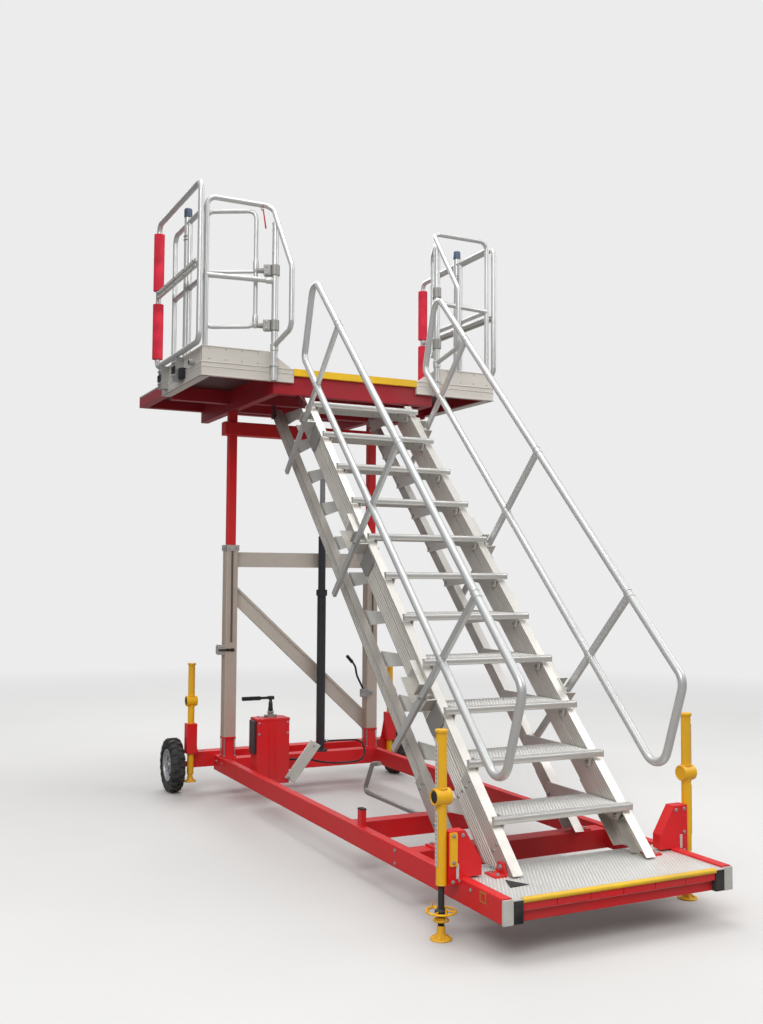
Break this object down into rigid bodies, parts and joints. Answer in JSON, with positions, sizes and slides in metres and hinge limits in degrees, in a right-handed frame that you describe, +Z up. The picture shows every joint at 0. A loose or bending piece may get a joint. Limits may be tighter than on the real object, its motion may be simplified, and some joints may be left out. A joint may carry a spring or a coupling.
{
  "type": "variable height access platform",
  "caption": "Towable work platform with a self levelling stair, telescoping masts, sliding side guards, swing gates and screw jacks.",
  "frame": {"origin": "on the ground, under the middle of the whole platform's bounding box", "axes": "+Z up, +Y from the foot of the stair to the far side of the deck, +X to the right seen from the stair"},
  "size_m": [2.356, 4.484, 4.149],
  "materials": {
    "red_paint": "gloss paint, worn",
    "aluminium": "mill finish",
    "yellow_paint": "gloss paint",
    "white_paint": "semi-gloss paint",
    "black_rubber": "matt",
    "red_foam": "matt",
    "zinc_steel": "satin"
  },
  "bodies": {
    "chassis": {"long_beams": "red_paint", "cross_members": "red_paint", "beam_end_plates": "white_paint", "front_buffers": "black_rubber", "base_step": "aluminium", "base_nosing": "yellow_paint", "foot_brackets": "red_paint", "outer_masts": "aluminium", "mast_feet": "red_paint", "mast_bracing": "aluminium", "ram_cylinder": "red_paint", "pump_box": "red_paint", "pump_valve": "zinc_steel", "hand_levers": "zinc_steel", "jack_tubes": "zinc_steel", "jack_brackets": "red_paint", "jack_strap": "yellow_paint", "towing_tube": "zinc_steel", "hydraulic_hose": "black_rubber"},
    "platform": {"inner_masts": "red_paint", "crosshead": "red_paint", "ram_rod": "zinc_steel", "underframe": "red_paint", "stair_hangers": "red_paint", "deck": "aluminium", "deck_nosing": "yellow_paint", "toe_boards": "aluminium", "fixed_guards": "aluminium", "slide_blocks": "white_paint"},
    "front_sleeve_pair": {"front_sleeves": "aluminium"},
    "rear_sleeve_pair": {"rear_sleeves": "aluminium"},
    "stair_frame": {"front_stringers": "aluminium", "handrails": "aluminium", "post_brackets": "aluminium"},
    "rear_stringer_pair": {"rear_stringers": "aluminium"},
    "left_wheel": {"left_tyre": "black_rubber", "left_rim": "zinc_steel"},
    "right_wheel": {"right_tyre": "black_rubber", "right_rim": "zinc_steel"},
    "left_slider": {"left_sliding_guard": "white_paint", "left_foam_sleeves": "red_foam"},
    "right_slider": {"right_sliding_guard": "white_paint", "right_foam_sleeves": "red_foam"},
    "left_gate_body": {"left_gate": "aluminium"},
    "right_gate_body": {"right_gate": "aluminium"},
    "front_left_jack": {"front_left_jack_screw": "zinc_steel"},
    "front_right_jack": {"front_right_jack_screw": "zinc_steel"},
    "rear_left_jack": {"rear_left_jack_screw": "zinc_steel"},
    "rear_right_jack": {"rear_right_jack_screw": "zinc_steel"},
    "tread_01_body": {"tread_01": "aluminium"},
    "tread_02_body": {"tread_02": "aluminium"},
    "tread_03_body": {"tread_03": "aluminium"},
    "tread_04_body": {"tread_04": "aluminium"},
    "tread_05_body": {"tread_05": "aluminium"},
    "tread_06_body": {"tread_06": "aluminium"},
    "tread_07_body": {"tread_07": "aluminium"},
    "tread_08_body": {"tread_08": "aluminium"},
    "tread_09_body": {"tread_09": "aluminium"},
    "tread_10_body": {"tread_10": "aluminium"},
    "tread_11_body": {"tread_11": "aluminium"}
  },
  "joints": [
    {"name": "lift", "type": "slide", "parent": "chassis", "child": "platform", "axis": [0, 0, 1], "range_m": [-0.25, 0.25]},
    {"name": "front_foot", "type": "hinge", "parent": "chassis", "child": "front_sleeve_pair", "pos_m": [0, -1.888, 0.29], "axis": [1, 0, 0], "range_deg": [-4, 4]},
    {"name": "rear_foot", "type": "hinge", "parent": "chassis", "child": "rear_sleeve_pair", "pos_m": [0, -1.328, 0.29], "axis": [1, 0, 0], "range_deg": [-4, 4]},
    {"name": "front_telescope", "type": "slide", "parent": "front_sleeve_pair", "child": "stair_frame", "axis": [0, 0.7071, 0.7071], "range_m": [-0.19, 0.19]},
    {"name": "rear_telescope", "type": "slide", "parent": "rear_sleeve_pair", "child": "rear_stringer_pair", "axis": [0, 0.7071, 0.7071], "range_m": [-0.19, 0.19]},
    {"name": "tread_01_pivot", "type": "hinge", "parent": "stair_frame", "child": "tread_01_body", "pos_m": [0, -1.75351, 0.42449], "axis": [1, 0, 0], "range_deg": [-4, 4]},
    {"name": "tread_02_pivot", "type": "hinge", "parent": "stair_frame", "child": "tread_02_body", "pos_m": [0, -1.52801, 0.64999], "axis": [1, 0, 0], "range_deg": [-4, 4]},
    {"name": "tread_03_pivot", "type": "hinge", "parent": "stair_frame", "child": "tread_03_body", "pos_m": [0, -1.30252, 0.87548], "axis": [1, 0, 0], "range_deg": [-4, 4]},
    {"name": "tread_04_pivot", "type": "hinge", "parent": "stair_frame", "child": "tread_04_body", "pos_m": [0, -1.07702, 1.10098], "axis": [1, 0, 0], "range_deg": [-4, 4]},
    {"name": "tread_05_pivot", "type": "hinge", "parent": "stair_frame", "child": "tread_05_body", "pos_m": [0, -0.85152, 1.32648], "axis": [1, 0, 0], "range_deg": [-4, 4]},
    {"name": "tread_06_pivot", "type": "hinge", "parent": "stair_frame", "child": "tread_06_body", "pos_m": [0, -0.62603, 1.55197], "axis": [1, 0, 0], "range_deg": [-4, 4]},
    {"name": "tread_07_pivot", "type": "hinge", "parent": "stair_frame", "child": "tread_07_body", "pos_m": [0, -0.40053, 1.77747], "axis": [1, 0, 0], "range_deg": [-4, 4]},
    {"name": "tread_08_pivot", "type": "hinge", "parent": "stair_frame", "child": "tread_08_body", "pos_m": [0, -0.17503, 2.00297], "axis": [1, 0, 0], "range_deg": [-4, 4]},
    {"name": "tread_09_pivot", "type": "hinge", "parent": "stair_frame", "child": "tread_09_body", "pos_m": [0, 0.05046, 2.22846], "axis": [1, 0, 0], "range_deg": [-4, 4]},
    {"name": "tread_10_pivot", "type": "hinge", "parent": "stair_frame", "child": "tread_10_body", "pos_m": [0, 0.27596, 2.45396], "axis": [1, 0, 0], "range_deg": [-4, 4]},
    {"name": "tread_11_pivot", "type": "hinge", "parent": "stair_frame", "child": "tread_11_body", "pos_m": [0, 0.50145, 2.67945], "axis": [1, 0, 0], "range_deg": [-4, 4]},
    {"name": "left_wheel_spin", "type": "hinge", "parent": "chassis", "child": "left_wheel", "pos_m": [-0.915, 1.78, 0.195], "axis": [1, 0, 0], "continuous": true},
    {"name": "right_wheel_spin", "type": "hinge", "parent": "chassis", "child": "right_wheel", "pos_m": [0.915, 1.78, 0.195], "axis": [1, 0, 0], "continuous": true},
    {"name": "left_guard_slide", "type": "slide", "parent": "platform", "child": "left_slider", "axis": [0, 1, 0], "range_m": [0, 0.35]},
    {"name": "right_guard_slide", "type": "slide", "parent": "platform", "child": "right_slider", "axis": [0, 1, 0], "range_m": [-0.18, 0.17]},
    {"name": "left_gate_hinge", "type": "hinge", "parent": "platform", "child": "left_gate_body", "pos_m": [-0.616, 0.566, 3.64], "axis": [0, 0, 1], "range_deg": [-150, 0]},
    {"name": "right_gate_hinge", "type": "hinge", "parent": "platform", "child": "right_gate_body", "pos_m": [0.616, 0.566, 3.64], "axis": [0, 0, 1], "range_deg": [-30, 115]},
    {"name": "front_left_jack_screw_slide", "type": "slide", "parent": "chassis", "child": "front_left_jack", "axis": [0, 0, 1], "range_m": [0, 0.1]},
    {"name": "front_right_jack_screw_slide", "type": "slide", "parent": "chassis", "child": "front_right_jack", "axis": [0, 0, 1], "range_m": [0, 0.1]},
    {"name": "rear_left_jack_screw_slide", "type": "slide", "parent": "chassis", "child": "rear_left_jack", "axis": [0, 0, 1], "range_m": [-0.085, 0.025]},
    {"name": "rear_right_jack_screw_slide", "type": "slide", "parent": "chassis", "child": "rear_right_jack", "axis": [0, 0, 1], "range_m": [-0.085, 0.025]}
  ],
  "couplings": [
    {"joint": "front_foot", "follows": "lift", "rad_per_m": 0.2052},
    {"joint": "rear_foot", "follows": "lift", "rad_per_m": 0.2052},
    {"joint": "front_telescope", "follows": "lift", "ratio": 0.705},
    {"joint": "rear_telescope", "follows": "lift", "ratio": 0.705},
    {"joint": "tread_01_pivot", "follows": "lift", "rad_per_m": -0.2052},
    {"joint": "tread_02_pivot", "follows": "lift", "rad_per_m": -0.2052},
    {"joint": "tread_03_pivot", "follows": "lift", "rad_per_m": -0.2052},
    {"joint": "tread_04_pivot", "follows": "lift", "rad_per_m": -0.2052},
    {"joint": "tread_05_pivot", "follows": "lift", "rad_per_m": -0.2052},
    {"joint": "tread_06_pivot", "follows": "lift", "rad_per_m": -0.2052},
    {"joint": "tread_07_pivot", "follows": "lift", "rad_per_m": -0.2052},
    {"joint": "tread_08_pivot", "follows": "lift", "rad_per_m": -0.2052},
    {"joint": "tread_09_pivot", "follows": "lift", "rad_per_m": -0.2052},
    {"joint": "tread_10_pivot", "follows": "lift", "rad_per_m": -0.2052},
    {"joint": "tread_11_pivot", "follows": "lift", "rad_per_m": -0.2052}
  ]
}
